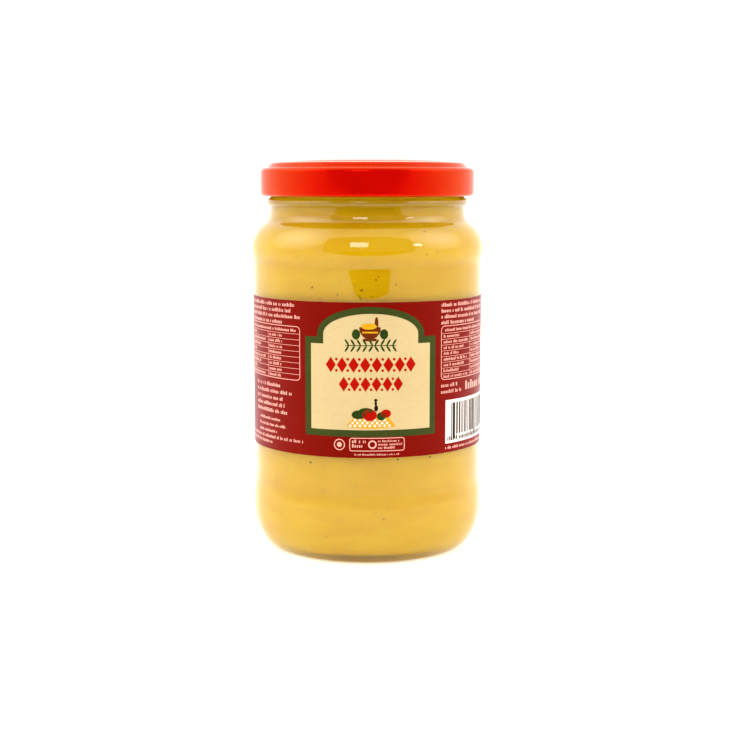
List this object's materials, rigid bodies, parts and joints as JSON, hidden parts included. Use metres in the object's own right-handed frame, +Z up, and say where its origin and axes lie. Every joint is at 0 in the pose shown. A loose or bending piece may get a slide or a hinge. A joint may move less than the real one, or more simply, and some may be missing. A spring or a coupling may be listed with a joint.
{
  "type": "mustard jar",
  "caption": "Full glass jar of mustard with a red twist-off metal cap, a wrap-round paper label and a thick hollowed base.",
  "frame": {"origin": "centre of the foot ring, on the surface that the jar stands on", "axes": "+Z up along the jar's axis, -Y towards the front of the label, +X to the right of that front"},
  "size_m": [0.0724, 0.0724, 0.1214],
  "materials": {
    "clear_glass": "clear soda-lime glass, smooth",
    "mustard_paste": "smooth moist paste with fine dark bran specks",
    "red_lacquered_steel": "gloss red lacquer on tinplate",
    "printed_paper": "coated paper, printed in fields of colour"
  },
  "bodies": {
    "root": {"jar": "clear_glass", "mustard": "mustard_paste", "cap": "red_lacquered_steel", "label": "printed_paper"}
  },
  "joints": []
}
